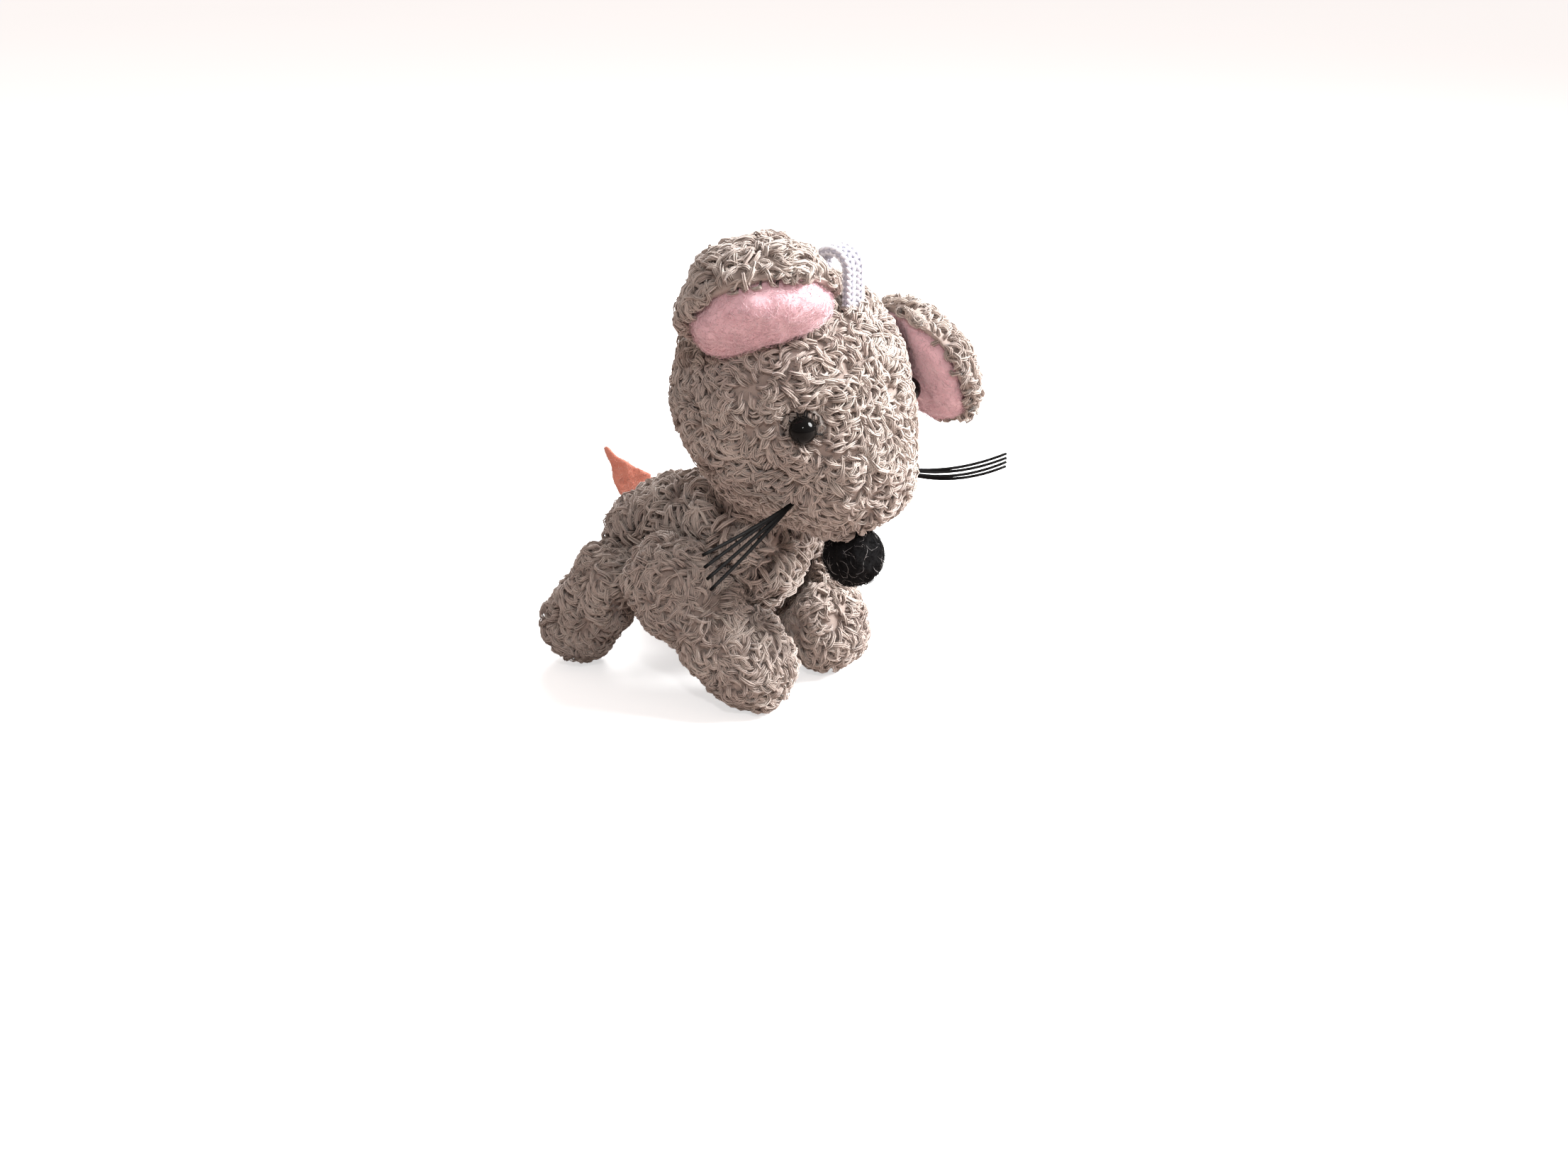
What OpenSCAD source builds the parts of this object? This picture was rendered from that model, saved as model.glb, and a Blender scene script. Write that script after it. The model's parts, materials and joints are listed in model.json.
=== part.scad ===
// Small sewn plush mouse: boucle skin panels over stuffing, felt nose, bead eyes,
// bristle whiskers, lined ears, thread-jointed legs, felt tail and a knitted hang loop.
// It faces -Y and stands on z = 0. All sizes are in millimetres.

/* [Head] */
// Radius of the skull end of the head
skull_r = 20.8; // [19:0.2:24]
// Radius of the snout end of the head
snout_r = 13.6; // [11:0.2:16]
// Distance from the skull centre to the snout centre
snout_reach = 13.8; // [11:0.2:17]
// Angle of the snout below the horizontal
head_pitch = 46; // [30:1:60]
// Width of the gusset panel over the top of the head
gusset_w = 14; // [8:1:20]
// Thickness of the knitted skin without its curls
skin_t = 1.2; // [0.8:0.1:2]

/* [Face] */
// Radius of the felted wool nose
nose_r = 5; // [3:0.25:7]
// Angle of the nose below the head's own axis
nose_drop = 31; // [10:1:40]
// How far the nose sinks into the snout
nose_sink = 2.1; // [1:0.1:4]
// How far the nose is sewn to the right of the middle seam
nose_side = 1.2; // [0:0.1:2]
// Radius of the bead eyes
eye_r = 2.2; // [1.5:0.1:3]
// Angle of each eye out from straight ahead
eye_out = 50; // [30:1:65]
// Depth to which an eye is pulled into the face
eye_sink = 0.8; // [0.2:0.1:2]
// Diameter of one whisker bristle
whisker_d = 0.6; // [0.4:0.1:1]
// Length of the whiskers
whisker_l = 21.5; // [10:0.5:30]
// Bristles on each side
whisker_n = 4; // [2:1:6]
// Angle over which the right bristles fan out
whisker_fan_right = 17; // [6:1:30]
// Angle over which the left bristles fan out
whisker_fan_left = 8; // [6:1:30]

/* [Ears] */
// Radius of an ear across its width
ear_r = 12.8; // [10:0.2:15]
// Thickness of the raised right ear's furry back
ear_right_back_t = 2.2; // [1.6:0.2:4]
// Thickness of the drooping left ear's furry back
ear_left_back_t = 2.4; // [1.6:0.2:4]
// Depth of the raised right ear's cup
ear_right_depth = 13; // [8:0.5:15]
// Depth of the drooping left ear's cup
ear_left_depth = 7.5; // [6:0.5:13]
// How far the right ear's lining bulges out of its cup
ear_right_puff = 3.6; // [1:0.2:5]
// How far the left ear's lining bulges out of its cup
ear_left_puff = 2.6; // [1:0.2:5]

/* [Body] */
// Height of the chest centre above the ground
chest_z = 24.35; // [23:0.05:28]
// Radius of the chest
chest_r = 11.8; // [10:0.2:13]
// Radius of the rump
rump_r = 11.7; // [10:0.2:13]
// Length between the chest centre and the rump centre
trunk_l = 14; // [10:0.5:20]
// Half width of the trunk between the legs
trunk_half_w = 9.35; // [8:0.05:11]
// Radius of the ball that joins head and trunk
neck_r = 7; // [5:0.25:8]

/* [Legs] */
// Radius of a front leg at the shoulder
shoulder_r = 9; // [7:0.1:9.4]
// Radius of a front paw
paw_r = 8.6; // [7:0.1:10]
// Radius of a hind leg at the hip
hip_r = 7; // [6:0.1:7.4]
// Radius of a hind foot
foot_r = 7.5; // [6:0.1:9]
// Depth of the flat patch pressed into each sole
sole_flat = 0.4; // [0.2:0.1:1]
// Thread that joints a pair of legs through the trunk
thread_d = 1.2; // [0.8:0.1:2]

/* [Tail and loop] */
// Length of the felt tail
tail_l = 10.5; // [8:0.5:30]
// Width of the tail at its widest
tail_w = 6.8; // [4:0.2:9]
// Thickness of the tail felt
tail_t = 1.2; // [0.8:0.1:2]
// Width of the hang loop tape
loop_w = 4.8; // [3:0.2:8]
// Thickness of the hang loop tape
loop_t = 1.1; // [0.8:0.1:1.6]
// Clear gap inside the hang loop
loop_gap = 5; // [4:0.2:9]
// Height of the hang loop's clear gap above the skin
loop_rise = 4.5; // [4:0.2:12]

/* [Fits] */
// Gap between pieces of different bodies
body_gap = 0.3; // [0.2:0.05:0.6]
// Running clearance of a thread in its hole, on radius
thread_fit = 0.08; // [0.05:0.01:0.1]
// Clearance of a bead eye in its dimple, on radius
eye_fit = 0.06; // [0.04:0.01:0.1]

/* [Hidden] */
$fn = 48;

fur = [0.72, 0.67, 0.63];
fur_dark = [0.62, 0.56, 0.52];
wool = [0.93, 0.92, 0.88];
pink = [0.94, 0.72, 0.78];
coral = [0.94, 0.55, 0.48];
black = [0.06, 0.06, 0.06];
white = [0.95, 0.95, 0.97];

far = 100;
arc_steps = 10;
// Shift that centres the mouse's own box over the origin
stand_x = 1.87;
stand_y = 10.3;

// Chest, rump and skull centres; the skull rests on the chest and leans forward over it
chest = [0, -7.95, chest_z];
trunk_fall = 16;
rump = chest + trunk_l * [0, cos(trunk_fall), -sin(trunk_fall)];
neck_lean = 24.7;
head_gap = 0.05;
neck_dir = [0, -sin(neck_lean), cos(neck_lean)];
neck = chest + (chest_r + head_gap) * neck_dir;
skull = neck + skull_r * neck_dir;
// Depth of the belly seam below the lower of the two trunk centres
belly_line = 4;

// Leg centres of the right side; the left side mirrors them
leg_face_x = trunk_half_w + body_gap;
shoulder = [-leg_face_x - 4.15, -6, chest_z - 3.35];
paw = [-leg_face_x - 0.85, -20, paw_r - sole_flat];
hip = [-leg_face_x - 3.85, shoulder.y + shoulder_r + hip_r + body_gap, shoulder.z - 3.4];
foot = [-leg_face_x - 4.35, hip.y + 6.5, foot_r - sole_flat];
// Radius round the shoulder thread within which a front leg keeps off the trunk
shoulder_clear_r = chest_r + 1.8;
// A leg's seam runs down its outer side
leg_seam = -90;
knot_r = 1.6;

// Places in the head's own frame, whose +Z runs from skull to snout and +Y to the forehead
snout = [0, 0, snout_reach];
nose_at = snout + (snout_r + nose_r - nose_sink) * [0, -sin(nose_drop), cos(nose_drop)]
  - [nose_side, 0, 0];
nose_thread_d = 0.8;
eye_lift = -2;
eye_at = (skull_r - eye_sink + eye_r / 4)
  * [-sin(eye_out) * cos(eye_lift), -cos(eye_out) * cos(eye_lift), sin(eye_lift)];
eye_thread_d = 0.6;
// Direction from the snout centre to the right whisker root, mirrored on the left
cheek_dir = [-0.94, 0.03, -0.345];
// Ways the bristles point: turn out from straight ahead, and fall below level
whisker_out = [92, 50];
whisker_fall = [14, 0];
whisker_root_r = 0.9;
// Depth of a whisker root's centre below the cheek
whisker_sink = 0.72;

// Hang loop: turn forward from the top of the skull, backward lean there and depth of its feet
loop_tilt = 22;
loop_lean = 26;
loop_sink = 3.2;

// Ears: cup centre from the skull centre, then turns about X, Y and Z
ear_right_at = skull_r * [-0.73, -0.24, 0.73];
ear_right_turn = [-34, -4, -34];
ear_left_at = skull_r * [1.01, -0.457, 0.072];
ear_left_turn = [0, 62, -20];

// Tail: height of its stitched point round the rump, and turn about its own length
tail_up = 45;
tail_turn = -46;
tail_root_l = 0.5;
tail_root_w = tail_w * 0.55;
tail_root_r = 1.4;
// The strip flexes across its own width, with room for the root to turn off the rump
tail_turn_r = norm([tail_t / 2, tail_root_l]);
tail_out = rump_r + body_gap + tail_turn_r;
// Rows of the tail's outline: height from its root, left edge and right edge
tail_tip_w = 0.6;
tail_rows = [
  [0, -tail_root_w / 2, tail_root_w / 2],
  [tail_l * 0.15, -tail_w / 2, tail_w / 2],
  [tail_l * 0.45, -tail_w * 0.44, tail_w * 0.24],
  [tail_l * 0.7, -tail_w * 0.24, tail_w * 0.05],
  [tail_l, -tail_w * 0.16, -tail_w * 0.16 + tail_tip_w]
];

// Outline of an egg from the origin, radius ra, to a centre l above it, radius rb
function egg_outline(ra, rb, l) =
  let (t = asin((ra - rb) / l))
  concat(
    [for (i = [0:arc_steps * 2]) let (u = -90 + (t + 90) * i / arc_steps / 2)
      [ra * cos(u), ra * sin(u)]],
    [for (i = [0:arc_steps]) let (u = t + (90 - t) * i / arc_steps)
      [rb * cos(u), l + rb * sin(u)]]
  );

module egg(ra, rb, l) {
  rotate_extrude() polygon(egg_outline(ra, rb, l));
}

// An egg between two points, grown by g, with its seam turned about its length
module egg_between(a, ra, b, rb, g = 0, seam = 0) {
  v = b - a;
  l = norm(v);
  translate(a)
    rotate([0, acos(v.z / l), atan2(v.y, v.x)]) rotate([0, 0, seam])
      egg(ra + g, rb + g, l);
}

module place() {
  translate([stand_x, stand_y, 0]) children();
}

module mirrored(side) {
  mirror([side > 0 ? 1 : 0, 0, 0]) children();
}

// ---- Head ----
module head_frame() {
  translate(skull) rotate([90 + head_pitch, 0, 0]) children();
}

module head_form(g = 0) {
  head_frame() egg(skull_r + g, snout_r + g, snout_reach);
}

module neck_socket() {
  translate(neck) sphere(r = neck_r + body_gap);
}

module eye_ball_pair(g = 0) {
  for (side = [-1, 1])
    mirrored(side) translate(skull + eye_at) sphere(r = eye_r + g);
}

module eye_thread_bore() {
  translate(skull + [0, eye_at.y, eye_at.z])
    rotate([0, 90, 0]) cylinder(d = eye_thread_d, h = -2 * eye_at.x, center = true);
}

module nose_thread_form() {
  head_frame() translate(nose_at) rotate([180 + nose_drop, 0, 0])
    cylinder(d = nose_thread_d, h = snout_r);
}

module nose_form() {
  head_frame() translate(nose_at) sphere(r = nose_r);
}

function head_axis() = [0, -cos(head_pitch), -sin(head_pitch)];

// Distance from the snout centre to the head's surface, on the snout's ball or the cone behind it
function cheek_reach(dir) =
  let (off = acos(dir * head_axis() / norm(dir)), cone = 90 - asin((skull_r - snout_r) / snout_reach))
  snout_r / cos(max(0, off - cone));

function whisker_at() =
  skull + snout_reach * head_axis() + (cheek_reach(cheek_dir) - whisker_sink) * cheek_dir;

module whisker_root(side) {
  mirrored(side) translate(whisker_at()) sphere(r = whisker_root_r);
}

module head_cuts() {
  neck_socket();
  eye_ball_pair(eye_fit);
  nose_form();
  for (side = [-1, 1]) whisker_root(side);
  loop_band(loop_sink);
  eye_thread_bore();
  nose_thread_form();
}

module head_shell() {
  difference() {
    head_form();
    head_form(-skin_t);
    head_cuts();
  }
}

module gusset_zone() {
  head_frame() translate([0, far / 2, 0]) cube([gusset_w, far, 2 * far], center = true);
}

module head_side(side) {
  difference() {
    intersection() {
      head_shell();
      translate([side * far / 2, 0, skull.z]) cube([far, 2 * far, 2 * far], center = true);
    }
    gusset_zone();
  }
}

module head_side_right() { color(fur) place() head_side(-1); }

module head_side_left() { color(fur) place() head_side(1); }

module head_gusset() {
  color(fur) place() intersection() {
    head_shell();
    gusset_zone();
  }
}

module head_stuffing() {
  color(wool) place() difference() {
    head_form(-skin_t);
    head_cuts();
  }
}

module bead_eye(side) {
  color(black) place() difference() {
    mirrored(side) translate(skull + eye_at) sphere(r = eye_r);
    eye_thread_bore();
  }
}

module eye_right() { bead_eye(-1); }

module eye_left() { bead_eye(1); }

module eye_thread() { color(black) place() eye_thread_bore(); }

module nose_ball() {
  color(black) place() difference() {
    nose_form();
    nose_thread_form();
  }
}

module nose_thread() { color(black) place() nose_thread_form(); }

module whiskers(side, out, fall, fan) {
  color(black) place() mirrored(side) translate(whisker_at()) {
    sphere(r = whisker_root_r);
    for (i = [0:whisker_n - 1])
      rotate([0, 0, -90 - out])
        rotate([0, 90 + fall + fan * (i / (whisker_n - 1) - 0.5), 0])
          cylinder(d = whisker_d, h = whisker_l, $fn = 16);
  }
}

module whiskers_right() {
  whiskers(-1, whisker_out[0], whisker_fall[0], whisker_fan_right);
}

module whiskers_left() {
  whiskers(1, whisker_out[1], whisker_fall[1], whisker_fan_left);
}

// Outline of the hang loop, round the middle of its ring: a half ring on two legs
module loop_outline(leg_l) {
  inner_r = loop_gap / 2;
  outer_r = inner_r + loop_t;
  difference() {
    circle(r = outer_r);
    circle(r = inner_r);
    translate([-far / 2, -far]) square(far);
  }
  for (side = [-1, 1])
    translate([side * (inner_r + loop_t / 2) - loop_t / 2, -leg_l])
      square([loop_t, leg_l]);
}

// Frame of the loop's outline, with its ring's middle at the origin, extruded to a width
module loop_extrude(width) {
  translate(skull) rotate([loop_tilt, 0, 0])
    translate([0, 0, skull_r]) rotate([-loop_lean, 0, 0])
      translate([-width / 2, 0, loop_rise - loop_gap / 2]) rotate([90, 0, 90])
        linear_extrude(width) children();
}

// Band of the hang loop, with its legs run down by sink below the skin
module loop_band(sink) {
  foot_drop = pow(loop_gap / 2 + loop_t, 2) / skull_r / 2;
  loop_extrude(loop_w) loop_outline(loop_rise - loop_gap / 2 + foot_drop + sink);
}

// Room that an ear leaves round the hang loop
module loop_room() {
  room_r = loop_gap / 2 + loop_t + body_gap;
  loop_extrude(loop_w + 2 * body_gap) {
    circle(r = room_r);
    translate([-room_r, -loop_rise]) square([2 * room_r, loop_rise]);
  }
}

module hang_loop() { color(white) place() loop_band(loop_sink); }

// ---- Ears ----
// A shallow dome that closes on z = 0, radius r and depth d
module dome(r, d) {
  steps = arc_steps * 2;
  rotate_extrude()
    polygon(concat([[0, 0]], [for (i = [0:steps]) let (u = 90 * i / steps) [r * cos(u), d * sin(u)]]));
}

module ear_frame(at, turn) {
  translate(skull + at) rotate(turn) children();
}

// Room that an ear leaves for the skull, the eyes and the hang loop
module ear_head_room() {
  translate(skull) sphere(r = skull_r + body_gap);
  eye_ball_pair(body_gap);
  loop_room();
}

module ear_back(at, turn, depth, back_t) {
  color(fur) place() difference() {
    ear_frame(at, turn) difference() {
      dome(ear_r, depth);
      dome(ear_r - back_t, depth - back_t);
    }
    ear_head_room();
  }
}

module ear_lining(at, turn, depth, back_t, puff) {
  color(pink) place() difference() {
    ear_frame(at, turn) {
      dome(ear_r - back_t, depth - back_t);
      mirror([0, 0, 1]) dome(ear_r - back_t, puff);
    }
    ear_head_room();
  }
}

module ear_right_back() {
  ear_back(ear_right_at, ear_right_turn, ear_right_depth, ear_right_back_t);
}

module ear_right_lining() {
  ear_lining(ear_right_at, ear_right_turn, ear_right_depth, ear_right_back_t, ear_right_puff);
}

module ear_left_back() {
  ear_back(ear_left_at, ear_left_turn, ear_left_depth, ear_left_back_t);
}

module ear_left_lining() {
  ear_lining(ear_left_at, ear_left_turn, ear_left_depth, ear_left_back_t, ear_left_puff);
}

// ---- Trunk ----
module neck_plug() {
  color(fur_dark) place() translate(neck) sphere(r = neck_r);
}

module trunk_form(g = 0) {
  intersection() {
    egg_between(chest, chest_r, rump, rump_r, g);
    translate([0, 0, chest.z])
      cube([2 * (trunk_half_w + g), 2 * far, 2 * far], center = true);
  }
}

module thread_line(at, reach, grow = 0) {
  translate([0, at.y, at.z])
    rotate([0, 90, 0]) cylinder(d = thread_d + 2 * grow, h = 2 * reach, center = true);
}

module trunk_cuts() {
  neck_socket();
  thread_line(shoulder, far / 2);
  thread_line(hip, far / 2);
  tail_root();
}

module trunk_shell() {
  difference() {
    trunk_form();
    trunk_form(-skin_t);
    trunk_cuts();
  }
}

// The belly gusset closes the trunk below the line from chest to rump
module belly_zone() {
  translate([0, 0, min(chest.z, rump.z) - far - belly_line])
    cube([2 * far, 2 * far, 2 * far], center = true);
}

module body_side(side) {
  color(fur) place() difference() {
    intersection() {
      trunk_shell();
      translate([side * far / 2, 0, 0]) cube([far, 2 * far, 2 * far], center = true);
    }
    belly_zone();
  }
}

module body_side_right() { body_side(-1); }

module body_side_left() { body_side(1); }

module belly_gusset() {
  color(fur) place() intersection() {
    trunk_shell();
    belly_zone();
  }
}

module body_stuffing() {
  color(wool) place() difference() {
    trunk_form(-skin_t);
    trunk_cuts();
  }
}

// ---- Legs ----
function thread_reach(joint) = -joint.x + knot_r / 2;

module joint_thread(joint) {
  color(white) place() {
    thread_line(joint, thread_reach(joint));
    for (side = [-1, 1])
      translate([side * thread_reach(joint), joint.y, joint.z]) sphere(r = knot_r);
  }
}

module shoulder_thread() { joint_thread(shoulder); }

module hip_thread() { joint_thread(hip); }

// Room that a leg leaves for its thread, its knot and the trunk
module leg_cuts(joint, clear_r) {
  thread_line(joint, thread_reach(joint), thread_fit);
  translate([-thread_reach(joint), joint.y, joint.z]) sphere(r = knot_r + thread_fit);
  translate([0, joint.y, joint.z])
    rotate([0, 90, 0]) cylinder(r = clear_r, h = 2 * leg_face_x, center = true);
}

module above_ground() {
  translate([0, 0, far]) cube(2 * far, center = true);
}

module leg_filling(a, ra, b, rb, clear_r) {
  difference() {
    egg_between(a, ra, b, rb, -skin_t, leg_seam);
    translate([0, a.y, a.z])
      rotate([0, 90, 0]) cylinder(r = clear_r + skin_t, h = 2 * (leg_face_x + skin_t), center = true);
  }
}

module leg_skin(side, a, ra, b, rb, clear_r) {
  color(fur) place() mirrored(side) difference() {
    intersection() {
      egg_between(a, ra, b, rb, 0, leg_seam);
      above_ground();
    }
    leg_filling(a, ra, b, rb, clear_r);
    leg_cuts(a, clear_r);
  }
}

module leg_stuffing(side, a, ra, b, rb, clear_r) {
  color(wool) place() mirrored(side) difference() {
    leg_filling(a, ra, b, rb, clear_r);
    leg_cuts(a, clear_r);
  }
}

module front_leg_right_skin() { leg_skin(-1, shoulder, shoulder_r, paw, paw_r, shoulder_clear_r); }

module front_leg_right_stuffing() {
  leg_stuffing(-1, shoulder, shoulder_r, paw, paw_r, shoulder_clear_r);
}

module front_leg_left_skin() { leg_skin(1, shoulder, shoulder_r, paw, paw_r, shoulder_clear_r); }

module front_leg_left_stuffing() {
  leg_stuffing(1, shoulder, shoulder_r, paw, paw_r, shoulder_clear_r);
}

module hind_leg_right_skin() { leg_skin(-1, hip, hip_r, foot, foot_r, far); }

module hind_leg_right_stuffing() { leg_stuffing(-1, hip, hip_r, foot, foot_r, far); }

module hind_leg_left_skin() { leg_skin(1, hip, hip_r, foot, foot_r, far); }

module hind_leg_left_stuffing() { leg_stuffing(1, hip, hip_r, foot, foot_r, far); }

// ---- Tail ----
// Frame whose +Z leaves the rump at the tail's stitched point
module tail_frame() {
  translate(rump) rotate([tail_up - 90, 0, 0]) children();
}

module tail_root() {
  tail_frame() translate([0, 0, rump_r - skin_t]) cylinder(r = tail_root_r, h = skin_t);
}

module tail_outline() {
  last = len(tail_rows) - 1;
  polygon(concat(
    [for (i = [0:last]) [tail_rows[i][2], tail_rows[i][0]]],
    [for (i = [last:-1:0]) [tail_rows[i][1], tail_rows[i][0]]]
  ));
}

module tail_strip() {
  color(coral) place() tail_frame() translate([0, 0, tail_out - tail_root_l])
    rotate([90, 0, tail_turn]) translate([0, 0, -tail_t / 2])
      linear_extrude(tail_t) tail_outline();
}

module tail_stitch() { color(coral) place() tail_root(); }

head_side_right();
head_side_left();
head_gusset();
head_stuffing();
eye_right();
eye_left();
eye_thread();
nose_ball();
nose_thread();
whiskers_right();
whiskers_left();
hang_loop();
ear_right_back();
ear_right_lining();
ear_left_back();
ear_left_lining();
neck_plug();
body_side_right();
body_side_left();
belly_gusset();
body_stuffing();
shoulder_thread();
hip_thread();
front_leg_right_skin();
front_leg_right_stuffing();
front_leg_left_skin();
front_leg_left_stuffing();
hind_leg_right_skin();
hind_leg_right_stuffing();
hind_leg_left_skin();
hind_leg_left_stuffing();
tail_strip();
tail_stitch();
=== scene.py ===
"""Looks of a small sewn plush mouse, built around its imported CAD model.

Everything is in metres in the row frame: +Z is up, the mouse faces -Y and stands on z = 0.
Each stuffed part is a skin wrapped over its CAD nodes, with a coat of curly yarn locks on it.
"""
import json
import math

import bmesh
import bpy
import numpy as np
from mathutils import Matrix, Vector
from mathutils.bvhtree import BVHTree
from mathutils.kdtree import KDTree


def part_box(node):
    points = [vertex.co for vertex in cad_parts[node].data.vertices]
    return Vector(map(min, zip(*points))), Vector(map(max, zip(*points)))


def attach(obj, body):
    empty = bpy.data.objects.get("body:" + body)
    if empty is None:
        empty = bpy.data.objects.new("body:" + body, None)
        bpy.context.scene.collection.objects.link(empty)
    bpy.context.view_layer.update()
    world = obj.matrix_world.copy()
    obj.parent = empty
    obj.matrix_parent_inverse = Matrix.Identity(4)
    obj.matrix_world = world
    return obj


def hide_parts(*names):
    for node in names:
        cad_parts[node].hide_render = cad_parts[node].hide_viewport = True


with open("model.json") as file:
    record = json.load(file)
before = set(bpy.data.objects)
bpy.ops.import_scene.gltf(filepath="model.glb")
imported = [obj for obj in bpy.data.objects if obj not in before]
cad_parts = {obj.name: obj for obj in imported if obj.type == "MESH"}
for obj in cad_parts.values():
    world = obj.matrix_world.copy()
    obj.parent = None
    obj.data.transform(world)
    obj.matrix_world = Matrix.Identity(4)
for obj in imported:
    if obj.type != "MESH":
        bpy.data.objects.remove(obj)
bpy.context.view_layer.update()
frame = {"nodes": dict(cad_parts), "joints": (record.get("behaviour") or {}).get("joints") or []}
NODES = frame["nodes"]
MM = 0.001
DOWN = np.array([0.0, 0.0, -1.0])

# Coat of locks, in metres
LOCK_LENGTH = 3.3 * MM
LOCK_LIFT = 0.95 * MM
STRAND_RADIUS = 0.118 * MM
LOCKS_PER_MM2 = 1.3
# How far the cloth lies inside the CAD solid, so that the curls end near its surface
CLOTH_INSET = 1.25 * MM
# Depth of the cloth above its filling, and of the furrow along a seam, with its width
FILLING_DEPTH = 0.35 * MM
SEAM_DEPTH = 0.45 * MM
SEAM_WIDTH = 1.1 * MM
# Most triangles in one piece of curls
PIECE_FACES = 190000
SKIN_FLOOR = 0.25 * MM
FUR_FLOOR = 0.05 * MM


# ---- Number helpers ----
def unit(vectors):
    """Vectors scaled to length 1."""
    return vectors / np.maximum(np.linalg.norm(vectors, axis=-1, keepdims=True), 1e-12)


def tangent(vectors, normals):
    """Directions of vectors laid flat on surfaces with these normals."""
    along = np.sum(vectors * normals, axis=-1, keepdims=True)
    return unit(vectors - along * normals)


def waves(points, wavelength, seed, channels=1, count=10):
    """Smooth random fields from about -1 to 1, with swells about a wavelength apart."""
    rng = np.random.default_rng(seed)
    fields = []
    for _ in range(channels):
        directions = unit(rng.normal(size=(count, 3)))
        scales = 2 * math.pi / (wavelength * rng.uniform(0.7, 1.5, count))
        phases = rng.uniform(0, 2 * math.pi, count)
        fields.append(np.sin(points @ (directions * scales[:, None]).T + phases).sum(1))
    return np.stack(fields, 1) / math.sqrt(count / 2)


def spaced(points, gap):
    """Which points to keep so that none is nearer than a gap to one kept before it."""
    tree = KDTree(len(points))
    for i, point in enumerate(points):
        tree.insert(point, i)
    tree.balance()
    kept = np.ones(len(points), bool)
    for i, point in enumerate(points):
        if kept[i]:
            for _, k, _ in tree.find_range(point, gap):
                if k > i:
                    kept[k] = False
    return kept


# ---- Mesh helpers ----
def mesh_arrays(mesh):
    """Vertices and triangles of a mesh as arrays."""
    mesh.calc_loop_triangles()
    points = np.empty(len(mesh.vertices) * 3)
    mesh.vertices.foreach_get("co", points)
    triangles = np.empty(len(mesh.loop_triangles) * 3, np.int32)
    mesh.loop_triangles.foreach_get("vertices", triangles)
    return points.reshape(-1, 3), triangles.reshape(-1, 3)


def node_points(name):
    """Vertices of a CAD node."""
    return mesh_arrays(NODES[name].data)[0]


def tree_of(*names):
    """One search tree over several CAD nodes."""
    points, triangles, base = [], [], 0
    for name in names:
        node_xyz, node_triangles = mesh_arrays(NODES[name].data)
        points.append(node_xyz)
        triangles.append(node_triangles + base)
        base += len(node_xyz)
    return BVHTree.FromPolygons(np.concatenate(points).tolist(), np.concatenate(triangles).tolist())


def mesh_from(name, points, faces, uv=None):
    """A smooth-shaded mesh from arrays; uv has one row per vertex."""
    mesh = bpy.data.meshes.new(name)
    sides = faces.shape[1]
    mesh.vertices.add(len(points))
    mesh.vertices.foreach_set("co", points.astype(np.float32).ravel())
    mesh.loops.add(faces.size)
    mesh.loops.foreach_set("vertex_index", faces.astype(np.int32).ravel())
    mesh.polygons.add(len(faces))
    mesh.polygons.foreach_set("loop_start", np.arange(0, faces.size, sides, dtype=np.int32))
    if uv is not None:
        layer = mesh.uv_layers.new(name="OFBake")
        layer.data.foreach_set("uv", uv[faces.ravel()].astype(np.float32).ravel())
    mesh.update(calc_edges=True)
    mesh.shade_smooth()
    return mesh


def piece(name, mesh, body, material):
    """Adds a mesh to the scene as a piece that rides on a body."""
    obj = bpy.data.objects.new(name, mesh)
    bpy.context.scene.collection.objects.link(obj)
    mesh.materials.append(material)
    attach(obj, body)
    return obj


class Surface:
    """A closed triangle surface, with what it takes to sculpt it and to lay locks on it."""

    def __init__(self, points, triangles):
        self.points = np.array(points, float)
        self.triangles = np.array(triangles, np.int64)
        sides = ([0, 1], [1, 2], [2, 0])
        pairs = np.concatenate([self.triangles[:, side] for side in sides])
        self.edges = np.unique(np.sort(pairs, axis=1), axis=0)

    def normals(self):
        a, b, c = (self.points[self.triangles[:, k]] for k in range(3))
        face_normals = np.cross(b - a, c - a)
        total = np.zeros_like(self.points)
        for k in range(3):
            np.add.at(total, self.triangles[:, k], face_normals)
        return unit(total)

    def smooth(self, times, share=0.5):
        for _ in range(times):
            total = np.zeros_like(self.points)
            count = np.zeros(len(self.points))
            for a, b in ((0, 1), (1, 0)):
                np.add.at(total, self.edges[:, a], self.points[self.edges[:, b]])
                np.add.at(count, self.edges[:, a], 1)
            self.points += share * (total / count[:, None] - self.points)
        return self

    def swell(self, amounts):
        """Moves each vertex out along its normal, by one amount or one each."""
        self.points += self.normals() * np.reshape(amounts, (-1, 1))
        return self

    def keep_above(self, floor):
        self.points[:, 2] = np.maximum(self.points[:, 2], floor)
        return self

    def tree(self):
        return BVHTree.FromPolygons(self.points.tolist(), self.triangles.tolist())

    def scatter(self, density, rng):
        """Random root points with their triangles, spaced out so that no bare patches are left."""
        a, b, c = (self.points[self.triangles[:, k]] for k in range(3))
        areas = np.linalg.norm(np.cross(b - a, c - a), axis=1) / 2
        counts = np.floor(areas * density * 2.6 + rng.random(len(areas))).astype(int)
        owner = rng.permutation(np.repeat(np.arange(len(areas)), counts))
        u, v = rng.random(len(owner)), rng.random(len(owner))
        over = u + v > 1
        u[over], v[over] = 1 - u[over], 1 - v[over]
        corner = a[owner]
        roots = corner + u[:, None] * (b[owner] - corner) + v[:, None] * (c[owner] - corner)
        kept = spaced(roots, 0.74 / math.sqrt(density))
        return roots[kept], owner[kept]


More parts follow.
